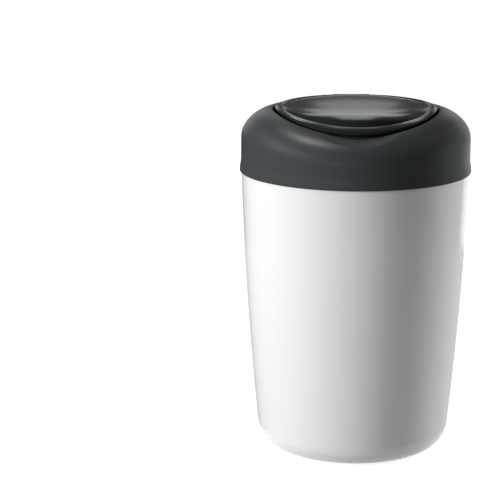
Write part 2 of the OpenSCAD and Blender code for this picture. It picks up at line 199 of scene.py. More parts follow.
def stage_paint(name, shade, glow):
    """A matt finish for stage pieces, with a glow for the rays that show it directly."""
    made = bpy.data.materials.new(name)
    made.use_nodes = True
    tree = made.node_tree
    tree.nodes.clear()
    matt = add(tree, "BsdfDiffuse", Color=(shade, shade, shade, 1))
    light = add(tree, "Emission", Color=WHITE, Strength=glow)
    lit = add(tree, "AddShader", in_0=matt.outputs[0], in_1=light.outputs[0])
    mixed = add(
        tree, "MixShader", in_0=seen_directly(tree), in_1=matt.outputs[0], in_2=lit.outputs[0]
    )
    add(tree, "OutputMaterial", Surface=mixed.outputs[0])
    return made


floor = primitive(
    bpy.ops.mesh.primitive_circle_add, "studio_floor", vertices=96, radius=9, fill_type="NGON"
)
paint = stage_paint("studio_floor", FLOOR_BOUNCE, GLOW_FAR)
tree = paint.node_tree
spot = add(tree, "TexCoord").outputs["Object"]
away = add(tree, "VectorMath", {"operation": "LENGTH"}, Vector=spot).outputs["Value"]
glow = ramp(tree, away, GLOW_START, GLOW_END, GLOW_NEAR, GLOW_FAR)
plug(tree, tree.nodes["Emission"].inputs, Strength=glow)
floor.data.materials.append(paint)
print("floor radius in m:", floor.dimensions.x / 2)


# %% Lamps and dark cloths
def toward(azimuth, elevation=0.0):
    """Direction round the bin: azimuth 0 is the camera's side and 90 is its right."""
    a, e = math.radians(azimuth) + ORBIT, math.radians(elevation)
    return Vector((math.sin(a) * math.cos(e), -math.cos(a) * math.cos(e), math.sin(e)))


def lamp(name, azimuth, elevation, distance, size, watts, shows="shade", aim=0.25):
    """A soft lamp that faces the bin at this height, for its shade or its highlights only."""
    data = bpy.data.lights.new(name, "AREA")
    data.shape, data.size, data.size_y = "RECTANGLE", *size
    data.energy = watts
    light = bpy.data.objects.new(name, data)
    bpy.context.collection.objects.link(light)
    away = toward(azimuth, elevation)
    light.location = Vector((0, 0, aim)) + away * distance
    light.rotation_mode = "QUATERNION"
    light.rotation_quaternion = away.to_track_quat("Z", "Y")
    light.visible_camera = False
    light.visible_glossy = shows == "highlight"
    light.visible_diffuse = light.visible_transmission = shows == "shade"
    return light


def highlight(name, azimuth, elevation, distance, size, watts):
    """A lamp that shows in the gloss of the bin's top only."""
    return lamp(name, azimuth, elevation, distance, size, watts, "highlight", LID_TOP)


def cloth(name, start, end, low, high, shade, distance=1.0, laid=False):
    """A cloth from one azimuth to another that only reflections show.

    It hangs between two heights at this distance, or lies on the floor between two radii.
    """
    hung = primitive(
        bpy.ops.mesh.primitive_grid_add, name, x_subdivisions=12, y_subdivisions=1, size=1
    )
    for vertex in hung.data.vertices:
        across, up = vertex.co.x + 0.5, vertex.co.y + 0.5
        span = low + (high - low) * up
        vertex.co = toward(start + (end - start) * across) * (span if laid else distance)
        vertex.co.z = MM if laid else span
    hide_but_mirrored(hung, shade)


def hide_but_mirrored(piece, shade):
    """Paints a stage piece so dark and shows it to reflections only."""
    piece.data.materials.append(stage_paint(piece.name, 0, shade))
    piece.visible_camera = piece.visible_diffuse = piece.visible_shadow = False


LID_TOP = 0.39  # m, the height that the highlight lamps face
lamp("key_lamp", -60, 16, 2.6, (1.0, 1.1), 57.5)
lamp("right_lamp", 114, 9, 2.0, (1.0, 1.1), 28)
lamp("top_lamp", -80, 45, 1.8, (1.0, 1.0), 6)
crown_lamps = [
    highlight("crown_box", 180, 57, 0.95, (0.86, 0.30), 2.8),
    highlight("crown_top", 180, 80, 0.95, (0.40, 0.46), 2.0),
    highlight("crown_middle", 180, 40, 0.95, (0.46, 0.35), 0.86),
    highlight("crown_low", 180, 21, 0.95, (0.22, 0.30), 0.13),
]
hood_lamps = [
    highlight("hood_spark", -117, 70, 0.9, (0.10, 0.10), 3.2),
    highlight("flare_lamp", -75, 22, 1.0, (1.2, 0.66), 6.0),
    highlight("front_flare_lamp", -20, 8, 1.0, (0.8, 0.12), 1.0),
    highlight("left_rim_lamp", -167, 26, 0.95, (0.30, 0.45), 0.34),
    highlight("right_rim_lamp", 164, 16, 0.95, (0.24, 0.18), 0.14),
]
TALL, FLOOR_IN, FLOOR_OUT = 3.0, 0.13, 1.0
cloth("front_cloth", -50, 85, 0, TALL, 0.01)
cloth("left_cloth", -140, -50, 0, TALL, 0.03)
cloth("low_cloth", -178, -140, 0, 0.33, 0.03)
cloth("right_cloth", 85, 135, 0, TALL, 0.30)
cloth("back_left_cloth", -165, -140, 0.78, TALL, 0.10)
cloth("back_right_cloth", 135, 165, 0.80, TALL, 0.10)
cloth("back_cloth", 165, 195, 0.38, TALL, 0.08)
cloth("front_floor_cloth", -70, 70, FLOOR_IN, FLOOR_OUT, 0.45, laid=True)
cloth("left_floor_cloth", -175, -70, FLOOR_IN, FLOOR_OUT, 0.30, laid=True)
cloth("right_floor_cloth", 70, 175, FLOOR_IN, FLOOR_OUT, 0.60, laid=True)
top_cloth = primitive(
    bpy.ops.mesh.primitive_circle_add, "top_cloth", vertices=48, radius=1, fill_type="NGON",
    location=(0, 0, TALL),
)
hide_but_mirrored(top_cloth, 0.03)
print("lamps:", [light.name for light in bpy.data.lights])

# %% [markdown]
# ## Turning helper
#
# Most pieces of the bin are round, and a designer draws half of the section and spins it. In
# Blender that is the Spin operator in edit mode, or the Screw modifier without any rise. The
# modifier is used here, because it makes hundreds of columns at once: a circle is added with as
# many points as the section has corners, each point is moved to its place in the drawing, and the
# modifier turns the loop about Z and is applied. Sharp corners of a section are rounded in the
# drawing, because a moulded edge is never sharp, and its rounding is what catches the light.


# %% Draw a section with rounded corners
def rounded(section, steps=5):
    """Section as (radius, height) points; a third number rounds that corner by so much."""
    points = []
    for i, corner in enumerate(section):
        here = Vector(corner[:2])
        before = Vector(section[i - 1][:2]) - here
        after = Vector(section[(i + 1) % len(section)][:2]) - here
        if len(corner) < 3:
            points.append(tuple(here))
            continue
        half = before.angle(after) / 2
        reach = min(corner[2] / math.tan(half), before.length * 0.49, after.length * 0.49)
        start, end = here + before.normalized() * reach, here + after.normalized() * reach
        middle = here + (before.normalized() + after.normalized()).normalized() * (
            reach / math.cos(half)
        )
        for k in range(steps + 1):
            way = (start - middle).lerp(end - middle, k / steps).normalized()
            points.append(tuple(middle + way * (start - middle).length))
    return points


# %% Turn a section into a piece
def edit(piece, action="SELECT"):
    """Opens a piece alone in edit mode, with all of it selected or none of it."""
    bpy.ops.object.select_all(action="DESELECT")
    piece.select_set(True)
    bpy.context.view_layer.objects.active = piece
    bpy.ops.object.mode_set(mode="EDIT")
    bpy.ops.mesh.select_all(action=action)


def close_edit(smooth=32):
    """Leaves edit mode, and shades smooth all but the edges sharper than this angle."""
    bpy.ops.object.mode_set(mode="OBJECT")
    bpy.ops.object.shade_smooth_by_angle(angle=math.radians(smooth))


def close_seams(piece, merge=0.0, smooth=32):
    """Merges points less than this many mm apart, turns the faces out and shades the piece."""
    edit(piece)
    if merge:
        bpy.ops.mesh.remove_doubles(threshold=merge * MM)
    bpy.ops.mesh.normals_make_consistent(inside=False)
    close_edit(smooth)


def apply(piece, kind, **settings):
    """Adds a modifier with these settings and applies it."""
    bpy.ops.object.select_all(action="DESELECT")
    piece.select_set(True)
    bpy.context.view_layer.objects.active = piece
    modifier = piece.modifiers.new(kind.lower(), kind)
    for key, value in settings.items():
        setattr(modifier, key, value)
    bpy.ops.object.modifier_apply(modifier=modifier.name)


SEAM = 0.002  # mm: points that meet on the axis or at the seam are closer than this


def turned(name, section, columns, closed=True):
    """Turns half a section, in mm, about Z. An open section starts and ends on the axis."""
    piece = primitive(bpy.ops.mesh.primitive_circle_add, name, vertices=len(section), radius=MM)
    corners = [c * MM for r, z in section for c in (r, 0, z)]
    piece.data.vertices.foreach_set("co", corners)
    if not closed:
        edit(piece, "DESELECT")
        bpy.ops.object.mode_set(mode="OBJECT")
        piece.data.vertices[0].select = piece.data.vertices[-1].select = True
        bpy.ops.object.mode_set(mode="EDIT")
        bpy.ops.mesh.delete(type="EDGE")
        bpy.ops.object.mode_set(mode="OBJECT")
    apply(piece, "SCREW", steps=columns, render_steps=columns, use_merge_vertices=True,
          merge_threshold=SEAM * MM)
    close_seams(piece, SEAM)
    print(name, "has", len(piece.data.polygons), "faces")
    return piece


# %% [markdown]
# ## Bucket
#
# The bucket is one thin white moulding: a foot ring with a shallow hollow under it, a large round
# corner, a side that leans out and bows a little, and a ledge with a collar for the hood. It could
# be a scaled cylinder with loops added, but its side is a curve, so the section is drawn from the
# same formula as the CAD model and spun.

# %% Bucket's section
LEDGE_Z = 312.5  # where the hood sits
HOOD_R = 127.5  # the hood's bottom edge, the widest place
LEDGE_R = HOOD_R - 2.1
BASE_ROUND = 25.3
BUCKET_WALL = 2.6
FOOT_H, FLOOR_Z = 2.5, 5.7
COLLAR_R, COLLAR_H = 123.05, 14
BASE_INSET, BELLY = 21.6, 3.2


def side_radius(z):
    """Outer radius of the bucket: a straight taper that bows out most at half height."""
    t = z / LEDGE_Z
    return LEDGE_R - BASE_INSET * (1 - t) + 4 * BELLY * t * (1 - t)


def corner_inset(h, q):
    """How far a corner of radius q draws the wall in at the height h above it."""
    return 0 if h >= q else q * (1 - math.sin(math.acos(1 - h / q)))


def side(low, high, inset, rows):
    """Points up the bucket's side from low to high, that far inside its outer face."""
    return [(side_radius(z) - inset, z) for z in np.linspace(low, high, rows + 1)]


def base_corner(bottom, q, inset, rows):
    """Points round the corner at the base, from the bottom up."""
    heights = [q * (1 - math.cos(math.pi / 2 * i / rows)) for i in range(rows)]
    return [(side_radius(bottom + h) - inset - corner_inset(h, q), bottom + h) for h in heights]


foot_r = side_radius(0) - BASE_ROUND
in_round = BASE_ROUND - BUCKET_WALL
bucket_section = rounded([
    (0, FOOT_H), (foot_r - 8, FOOT_H, 0.8), (foot_r - 7, 0, 0.6),
    *base_corner(0, BASE_ROUND, 0, 20), *side(BASE_ROUND, LEDGE_Z - 0.8, 0, 40),
    (LEDGE_R, LEDGE_Z, 0.5), (COLLAR_R, LEDGE_Z, 0.3), (COLLAR_R, LEDGE_Z + COLLAR_H, 0.8),
    (COLLAR_R - BUCKET_WALL, LEDGE_Z + COLLAR_H, 0.8), (COLLAR_R - BUCKET_WALL, LEDGE_Z - 1, 1.5),
    *side(FLOOR_Z + in_round, LEDGE_Z - 5, BUCKET_WALL, 24)[::-1],
    *base_corner(FLOOR_Z, in_round, BUCKET_WALL, 12)[:0:-1], (0, FLOOR_Z),
])
bucket_moulding = turned("bucket_moulding", bucket_section, 256, closed=False)
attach(bucket_moulding, "bucket")
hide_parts("bucket")

# %% [markdown]
# ## Hood
#
# The hood starts as a round cover: a flared bottom edge, an upright wall, and a full shoulder that
# rolls over to the opening for the lid. On the real one the front of the opening dips, and a
# finger scoop is pressed into the shoulder there. That could be sculpted with proportional
# editing, but a formula gives a clean surface: the turned cover is drawn first, and each of its
# points is then lowered by what the dip, the scoop and the hinge's recess take at its place.

# %% Hood as a turned cover
UPRIGHT_R, HOOD_WALL = 126.05, 2.6
SHOULDER_Z, EDGE_Z, LAND_Z = 349.4, 380.757, 358.0
OPEN_R, EDGE_ROUND, THROAT_WALL = 91.0, 1.5, 2.4
LID_R, FRONT_DIP = 88.6, 15.6
LEANNESS = 1.2  # 1 makes the shoulder a quarter of an ellipse, and more makes it leaner


def shoulder(t, skin=0, start=OPEN_R + EDGE_ROUND):
    """Point of the shoulder's section at the angle t, for a skin that far under the surface."""
    r = start + (UPRIGHT_R - skin - start) * math.cos(t) ** LEANNESS
    return r, SHOULDER_Z + (EDGE_Z - SHOULDER_Z - skin) * math.sin(t)


def flare(u):
    """Point of the flared bottom edge, from the bottom (u = 0) to the upright wall."""
    return HOOD_R - 1.45 * u * u * (3 - 2 * u), LEDGE_Z + 1.2 + 13.8 * u


quarter = [math.pi / 2 * i / 56 for i in range(57)]
roll = [math.pi / 2 * i / 6 for i in range(1, 7)]
hood_section = [
    (UPRIGHT_R - HOOD_WALL, LEDGE_Z), (HOOD_R - 0.9, LEDGE_Z), (HOOD_R - 0.4, LEDGE_Z + 0.15),
    (HOOD_R - 0.1, LEDGE_Z + 0.5), *[flare(i / 14) for i in range(15)],
    *[(UPRIGHT_R, z) for z in (330, 333, 336, 339, 342, 345)], *[shoulder(t) for t in quarter],
    *[(OPEN_R + EDGE_ROUND * (1 - math.sin(q)), EDGE_Z - EDGE_ROUND * (1 - math.cos(q)))
      for q in roll],
    (OPEN_R, LAND_Z + 0.6), (OPEN_R + 0.6, LAND_Z), (OPEN_R + THROAT_WALL, LAND_Z),
    *[shoulder(t, HOOD_WALL, OPEN_R + THROAT_WALL) for t in quarter[::-2]],
]
hood_moulding = turned("hood_moulding", hood_section, 480)

# %% Sink the front, press in the scoop and the hinge's recess
SCOOP_Z, SCOOP_HALF_W, SCOOP_FALL = 361.7, 36.8, 0.216
RECESS_DEPTH, RECESS_HALF_W = 8.7, 30.0
FLARE_TOP = LEDGE_Z + 15
SHOULDER_SHARE = 0.8  # how much of the dip the foot of the shoulder follows
SCOOP_CREASE, RECESS_CREASE = 0.8, 2.4  # how wide their edges are rounded


def dip(y):
    """How far the opening has fallen at the plan position y, which is only so at the front."""
    return FRONT_DIP * (np.minimum(0, y) / LID_R) ** 2


def soft_min(a, b, width):
    """The lower of two heights, with a rounded crease between them."""
    mix = np.maximum(width - np.abs(a - b), 0) / width
    return np.minimum(a, b) - mix * mix * width / 4


def points_of(piece):
    """All vertices of a piece as an array, in millimetres."""
    flat = np.empty(len(piece.data.vertices) * 3)
    piece.data.vertices.foreach_get("co", flat)
    return flat.reshape(-1, 3) / MM


def move_points(piece, points):
    """Puts all vertices of a piece at these places, in millimetres."""
    piece.data.vertices.foreach_set("co", (points * MM).ravel())
    piece.data.update()


def press_hood(points):
    """New heights of the hood's points after the dip, the scoop and the recess."""
    x, y, z = points.T
    r = np.hypot(x, y)
    share = np.clip((r - OPEN_R - EDGE_ROUND) / (UPRIGHT_R - OPEN_R - EDGE_ROUND), 0, 1)
    outer_z = SHOULDER_Z + (EDGE_Z - SHOULDER_Z) * np.sqrt(1 - share ** (2 / LEANNESS))
    inner = (r < UPRIGHT_R - HOOD_WALL + 0.2) & (z < outer_z - 0.6 * HOOD_WALL)
    inner &= r > OPEN_R + THROAT_WALL - 0.1
    wall = np.where(inner, HOOD_WALL, 0)
    lift = np.clip((z + wall - SHOULDER_Z) / (EDGE_Z - SHOULDER_Z), 0, 1)
    upright = np.clip((z - FLARE_TOP) / (SHOULDER_Z - FLARE_TOP), 0, 1)
    follows = SHOULDER_SHARE * upright + (1 - SHOULDER_SHARE) * lift
    sunk = z + wall - dip(OPEN_R * y / r) * follows
    side_y = -math.sqrt(OPEN_R**2 - SCOOP_HALF_W**2)
    rise = EDGE_Z - dip(side_y) - SCOOP_Z - SCOOP_FALL * (OPEN_R + side_y)
    scoop = SCOOP_Z + SCOOP_FALL * (y + OPEN_R) + rise * (x / SCOOP_HALF_W) ** 2
    recess = EDGE_Z - RECESS_DEPTH * (1 - (x / RECESS_HALF_W) ** 2)
    in_front = soft_min(sunk, scoop, SCOOP_CREASE)
    pressed = np.where(y < 0, in_front, soft_min(sunk, recess, RECESS_CREASE)) - wall
    held = (z < LAND_Z + 0.7) & (r < OPEN_R + THROAT_WALL + 0.1)
    points[:, 2] = np.where(held, z, pressed)
    return points


move_points(hood_moulding, press_hood(points_of(hood_moulding)))
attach(hood_moulding, "head")
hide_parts("hood")
print("hood's highest point at z", round(points_of(hood_moulding)[:, 2].max(), 1))

# %% [markdown]
# ## Lid
#
# The lid's shell is a low dome with a groove round it, a ridge, and a lip that slopes down to the
# edge. Its front dips with the hood's opening, and there the dome ends in a steep little cliff.
# Again the round section is spun first. The shell is then sheared downwards: the edge, the ridge
# and the groove sink by the whole dip, and the dome only near its foot, so that it stays a dome.

# %% Lid's shell as a turned cover
RIM_Z, RIDGE_H, GROOVE_DEPTH = 383.157, 1.7, 1.7
LID_WALL, CROWN_H = 2.4, 8.5
LIP_R, CROWN_R, SKIRT_R = 82.2, 80.0, 81.4
LINER_TOP = 363.4
RIDGE_DIP, RIDGE_FALL = 11.7, 1.6
CROWN_EDGE = 8  # how square the dome's edge is


def crown(s, skin=0):
    """Point of the dome at the share s of its radius, for a skin that far under the surface."""
    r = (CROWN_R - skin) * s
    foot = RIM_Z + RIDGE_H - GROOVE_DEPTH - skin
    dome = RIM_Z + CROWN_H * (1 - (r / LID_R) ** 2) - skin
    return r, foot + (dome - foot) * math.sqrt(max(0, 1 - s**CROWN_EDGE))


ridge_z = RIM_Z + RIDGE_H
groove_z = ridge_z - GROOVE_DEPTH
outside = [crown(math.sin(math.pi / 2 * i / 64)) for i in range(65)]
inside = [crown(math.sin(math.pi / 2 * i / 24), LID_WALL) for i in range(25)]
lid_section = rounded([
    *inside, (SKIRT_R - LID_WALL, groove_z - LID_WALL, 0.5), (SKIRT_R - LID_WALL, LINER_TOP, 0.3),
    (SKIRT_R, LINER_TOP, 0.3), (SKIRT_R, groove_z - LID_WALL, 1.2),
    (LID_R - 0.8, RIM_Z - LID_WALL - 0.2), (LID_R, RIM_Z - LID_WALL, 0.5),
    (LID_R, RIM_Z - 0.5, 1.0), (LID_R - 1.4, RIM_Z + 0.35, 0.6), (LIP_R + 2.9, ridge_z - 0.55, 0.6),
    (LIP_R + 0.4, ridge_z + 0.05, 0.9),
    (LIP_R - 0.5, groove_z, 0.7), (CROWN_R + 0.5, groove_z, 0.4), *outside[::-1],
])
lid_moulding = turned("lid_moulding", lid_section, 480, closed=False)


# %% Sink the lid's front
def press_lid(points):
    """New heights of the lid's points: edge, ridge and groove sink, the dome only at its foot."""
    x, y, z = points.T
    r = np.hypot(x, y)
    front = np.maximum(0, -y / np.maximum(r, 1e-6))
    at_ridge = RIDGE_DIP * front**RIDGE_FALL
    at_edge = FRONT_DIP * front**2
    dome = at_ridge * (1 - np.sqrt(np.clip(1 - (r / CROWN_R) ** CROWN_EDGE, 0, 1)))
    lip = np.clip((r - LIP_R - 0.6) / (LID_R - LIP_R - 0.6), 0, 1)
    sinking = np.where(r < CROWN_R, dome, at_ridge + (at_edge - at_ridge) * lip)
    points[:, 2] = np.where(z < LINER_TOP + 0.6, z, z - sinking)
    return points


move_points(lid_moulding, press_lid(points_of(lid_moulding)))
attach(lid_moulding, "lid")
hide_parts("lid_shell")

# %% [markdown]
# ## Hinge
#
# At the back the lid has a knuckle on a short tongue, which turns on a steel pin between two ears
# of the hood. They are small blocks with one round side. Each starts as a cylinder along the
# hinge's axis, and the half that joins its moulding is drawn out. A boolean drills the pin's hole,
# and a bevel breaks the edges, as the mould does.

# %% Knuckle, tongue and ears
HINGE_Y, HINGE_Z, KNUCKLE_R, PIN_R = 95.0, 379.557, 3.6, 2.0
EDGE_BREAK, KNUCKLE_PLAY, EAR_PLAY = 0.35, 0.08, 0.03


def bar_along_x(name, radius, x0, x1):
    """A cylinder on the hinge's axis, from x0 to x1 in mm."""
    return primitive(
        bpy.ops.mesh.primitive_cylinder_add, name, vertices=48, radius=radius * MM,
        depth=(x1 - x0) * MM, rotation=(0, math.pi / 2, 0),
        location=((x0 + x1) / 2 * MM, HINGE_Y * MM, HINGE_Z * MM),
    )


def cut(piece, cutter, operation="DIFFERENCE"):
    """Takes the cutter out of a piece, or welds it on, and removes the cutter."""
    apply(piece, "BOOLEAN", object=cutter, operation=operation, solver="EXACT")
    bpy.data.objects.remove(cutter)


def drill(piece, play):
    """Drills the pin's hole, with this play round the pin."""
    cut(piece, bar_along_x("pin_hole", PIN_R + play, -30, 30))


def soften(piece, width):
    """Bevels the sharp edges by this many mm and shades the rest smooth."""
    apply(piece, "BEVEL", width=width * MM, segments=3, limit_method="ANGLE")
    close_seams(piece)


def merged(name, *parts):
    """Joins separate closed parts into one piece."""
    bpy.ops.object.select_all(action="DESELECT")
    for part in parts:
        part.select_set(True)
    bpy.context.view_layer.objects.active = parts[0]
    bpy.ops.object.join()
    joined = bpy.context.object
    joined.name = joined.data.name = name
    return joined


TONGUE_Y, TONGUE_LOW = 78.0, 377.96
knuckle = bar_along_x("lid_knuckle", KNUCKLE_R, -14, 14)
points = points_of(knuckle)
towards_lid = points[:, 1] < HINGE_Y - 0.01
points[towards_lid, 1] = TONGUE_Y
points[towards_lid, 2] = np.clip(points[towards_lid, 2], TONGUE_LOW, HINGE_Z + KNUCKLE_R)
move_points(knuckle, points)
close_seams(knuckle, 0.01)
drill(knuckle, KNUCKLE_PLAY)
soften(knuckle, EDGE_BREAK)
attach(knuckle, "lid")
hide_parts("lid_shell")

EAR_IN, EAR_OUT, EAR_FOOT = 14.3, 20.3, 372.6
ears = []
for ends in ((-EAR_OUT, -EAR_IN), (EAR_IN, EAR_OUT)):
    ear = bar_along_x("ear", KNUCKLE_R, *ends)
    points = points_of(ear)
    points[points[:, 2] < HINGE_Z - 0.01, 2] = EAR_FOOT
    move_points(ear, points)
    close_seams(ear, 0.01)
    ears.append(ear)
hinge_ears = merged("hinge_ears", *ears)
drill(hinge_ears, EAR_PLAY)
soften(hinge_ears, EDGE_BREAK)
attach(hinge_ears, "head")
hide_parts("hood")
print("knuckle and ears:", len(knuckle.data.polygons), len(hinge_ears.data.polygons), "faces")

# %% [markdown]
# ## Screws, their bosses and the pin
#
# Four pan-head screws hold the cradle under the hood. One screw is enough to model: its section is
# turned, and a cross made of two slim wedges is taken out of the head. The copies are turned to
# their places about the bin's axis. The hood's bosses that they bite into are short tubes with
# ribs, which only show from below. The hinge's pin is turned in the same way and then laid along
# its axis. It has a head at one end.

# %% Screws and bosses
BOSS_AT, BOSS_R, BOSS_TOP, SCREW_ANGLES = 97.0, 3.6, 370.5, (45, 135, 225, 315)
SCREW_SEAT, SCREW_HEAD_R, SCREW_HEAD_H = LAND_Z - 2.2, 3.0, 2.0
SCREW_R, SCREW_L, SCREW_PLAY, CROSS_L, CROSS_W = 1.5, 8.6, 0.03, 1.7, 0.35


def copies_round(name, piece, angles):
    """Copies a piece, each with its own mesh, to these angles about Z, and joins them."""
    parts = []
    for angle in angles:
        part = bpy.data.objects.new(name, piece.data.copy())
        bpy.context.collection.objects.link(part)
        part.data.transform(Matrix.Rotation(math.radians(angle), 4, "Z"))
        parts.append(part)
    bpy.data.objects.remove(piece)
    return merged(name, *parts)


def block(name, low, high):
    """A block between two corners in mm."""
    return primitive(
        bpy.ops.mesh.primitive_cube_add, name, size=1,
        location=[(a + b) / 2 * MM for a, b in zip(low, high)],
        scale=[(b - a) * MM for a, b in zip(low, high)],
    )


head_z = SCREW_SEAT - SCREW_HEAD_H
screw = turned("screw", rounded([
    (0, head_z), (SCREW_HEAD_R, head_z, 0.9), (SCREW_HEAD_R, SCREW_SEAT, 0.15),
    (SCREW_R, SCREW_SEAT), (SCREW_R, SCREW_SEAT + SCREW_L - 1),
    (0.4, SCREW_SEAT + SCREW_L), (0, SCREW_SEAT + SCREW_L),
]), 32, closed=False)
for across in ((CROSS_L, CROSS_W), (CROSS_W, CROSS_L)):
    cut(screw, block("cross", (-across[0], -across[1], head_z - 1), (*across, head_z + 1.1)))
screw.data.transform(Matrix.Translation((BOSS_AT * MM, 0, 0)))
screws = copies_round("pan_head_screws", screw, SCREW_ANGLES)
close_edit(25)
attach(screws, "head")
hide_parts("cradle_screws")

boss_in = SCREW_R + SCREW_PLAY
boss = turned("boss", rounded([
    (boss_in, LAND_Z, 0.15), (BOSS_R, LAND_Z, 0.3), (BOSS_R + 0.2, BOSS_TOP), (boss_in, BOSS_TOP),
]), 32)
boss.data.transform(Matrix.Translation((BOSS_AT * MM, 0, 0)))
rib = block("rib", (BOSS_AT + BOSS_R - 0.4, -0.6, LAND_Z + 1), (BOSS_AT + 7.2, 0.6, 367))
bosses = copies_round("hood_bosses", merged("boss", boss, rib), SCREW_ANGLES)
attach(bosses, "head")
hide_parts("hood")
print("screws and bosses:", len(screws.data.polygons), len(bosses.data.polygons), "faces")

# %% Hinge pin
PIN_HEAD_R, PIN_START, PIN_END = 2.9, -21.5, 20.9
pin = turned("headed_pin", rounded([
    (0, PIN_START), (PIN_HEAD_R, PIN_START, 0.45), (PIN_HEAD_R, -EAR_OUT, 0.15), (PIN_R, -EAR_OUT),
    (PIN_R, PIN_END, 0.5), (0, PIN_END),
]), 48, closed=False)
pin.data.transform(Matrix.Rotation(math.pi / 2, 4, "Y"))
pin.data.transform(Matrix.Translation((0, HINGE_Y * MM, HINGE_Z * MM)))
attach(pin, "head")
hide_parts("hinge_pin")

# %% [markdown]
# ## Cradle
#
# The cradle hangs from the hood: a flange, a well that the cassette drops into, a funnel and a
# neck that the film hangs through. It is turned as the others are. Ribs inside centre the
# cassette and webs under the flange stiffen it. They are added as blocks and welded on by a
# boolean, so that the moulding stays one closed skin.

# %% Cradle
CRADLE_Z, WELL_R, BORE_R, NECK_R, NECK_Z, FLANGE_R = 316.0, 81.0, 56.0, 51.0, 302.5, 95.0
CRADLE_WALL, TAB_R = 2.2, 4.4
under_flange, under_floor = LAND_Z - CRADLE_WALL, CRADLE_Z - CRADLE_WALL
well_out = WELL_R + CRADLE_WALL
cradle = turned("cradle_moulding", rounded([
    (BORE_R, CRADLE_Z, 1.6), (WELL_R, CRADLE_Z, 1.2), (WELL_R, LAND_Z, 0.8),
    (FLANGE_R, LAND_Z, 0.4), (FLANGE_R, under_flange, 0.4), (well_out, under_flange, 1.0),
    (well_out, under_floor, 1.6), (BORE_R + CRADLE_WALL, under_floor, 1.0),
    (NECK_R, CRADLE_Z - 8, 3), (NECK_R, NECK_Z + 1.8, 0.6), (NECK_R + 0.9, NECK_Z + 0.9, 0.5),
    (NECK_R, NECK_Z, 0.4),
    (NECK_R - CRADLE_WALL, NECK_Z, 0.6), (NECK_R - CRADLE_WALL, CRADLE_Z - 7, 3),
]), 256)
stiffeners = []
for angle in (0, 90, 180, 270):
    rib = block("rib", (WELL_R - 0.6, -1, CRADLE_Z - 0.1), (WELL_R + 0.4, 1, LAND_Z - 6))
    stiffeners.append((angle, rib))
for angle in range(30, 360, 60):
    web = block("web", (WELL_R + 1.8, -1.1, LAND_Z - 15), (FLANGE_R - 1, 1.1, LAND_Z - 2))
    points = points_of(web)
    points[(points[:, 0] > FLANGE_R - 2) & (points[:, 2] < LAND_Z - 10), 0] = WELL_R + 3
    move_points(web, points)
    stiffeners.append((angle, web))
for angle in SCREW_ANGLES:
    tab = primitive(
        bpy.ops.mesh.primitive_cylinder_add, "tab", vertices=48, radius=TAB_R * MM,
        depth=CRADLE_WALL * MM, location=(BOSS_AT * MM, 0, (LAND_Z - CRADLE_WALL / 2) * MM),
    )
    stiffeners.append((angle, tab))
for angle, part in stiffeners:
    part.data.transform(Matrix.Rotation(math.radians(angle), 4, "Z"))
cut(cradle, merged("stiffeners", *[part for _, part in stiffeners]), "UNION")
edit(cradle)
close_edit()
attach(cradle, "head")
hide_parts("cassette_cradle")
print("cradle has", len(cradle.data.polygons), "faces")

# %% [markdown]
# ## Cassette, liner and seals
#
# The cassette is a ring-shaped tray with a cap that leaves a narrow gap for the film. The lid's
# liner is a flat inner lid with a raised middle, and two soft seals sit between its ribs. All are
# round, so each is one turned section. The slot for the film cutter is taken out of the liner by
# a boolean.

# %% Cassette, liner and seals
CASSETTE_R, CASSETTE_WALL, CASSETTE_TOP, INNER_WALL_Z = 80.0, 1.6, 356.0, 350.5
TRAY_LOW, TRAY_TOP = CRADLE_Z + 0.05, CASSETTE_TOP - 2.5
tray_in, tray_out = BORE_R + CASSETTE_WALL, CASSETTE_R - CASSETTE_WALL
tray_floor = CRADLE_Z + CASSETTE_WALL
tray = turned("cassette_tray", rounded([
    (BORE_R, TRAY_LOW, 0.6), (CASSETTE_R, TRAY_LOW, 1.4), (CASSETTE_R, TRAY_TOP, 0.3),
    (tray_out, TRAY_TOP, 0.3), (tray_out, tray_floor, 1.0), (tray_in, tray_floor, 1.0),
    (tray_in, INNER_WALL_Z, 0.7), (BORE_R, INNER_WALL_Z, 0.7),
]), 192)
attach(tray, "head")
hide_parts("cassette_body")

cap_in, clip_r = tray_in + 2.6, tray_out - 0.05
under_cap, lip_z = CASSETTE_TOP - CASSETTE_WALL, TRAY_TOP - 1.4
top_rings = []
for ring_r in (76.0, 65.5):
    top_rings += [(ring_r + 0.4, CASSETTE_TOP, 0.15), (ring_r + 0.1, CASSETTE_TOP - 0.35, 0.15),
                  (ring_r - 0.1, CASSETTE_TOP - 0.35, 0.15), (ring_r - 0.4, CASSETTE_TOP, 0.15)]
cap = turned("cassette_cap_moulding", rounded([
    (cap_in, lip_z, 0.3), (cap_in + CASSETTE_WALL, lip_z, 0.3),
    (cap_in + CASSETTE_WALL, under_cap, 0.6), (clip_r - CASSETTE_WALL, under_cap, 0.6),
    (clip_r - CASSETTE_WALL, TRAY_TOP - 3, 0.3), (clip_r, TRAY_TOP - 3, 0.4),
    (clip_r, TRAY_TOP + 0.05, 0.1), (CASSETTE_R, TRAY_TOP + 0.05, 0.2),
    (CASSETTE_R, CASSETTE_TOP, 1.0), *top_rings, (cap_in, CASSETTE_TOP, 1.0),
]), 192)
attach(cap, "head")
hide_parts("cassette_cap")

LINER_Z, LINER_R, DISH_R, DISH_H, LINER_T = 361.0, 86.0, 52.0, 5.6, 2.4
OUTER_SEAL_R, INNER_SEAL_R, SEAL_W, RIB_W, RIB_H = 82.6, 62.6, 2.4, 0.7, 1.2
fit_r, FIT_H = SKIRT_R - LID_WALL - 0.2, 4.4


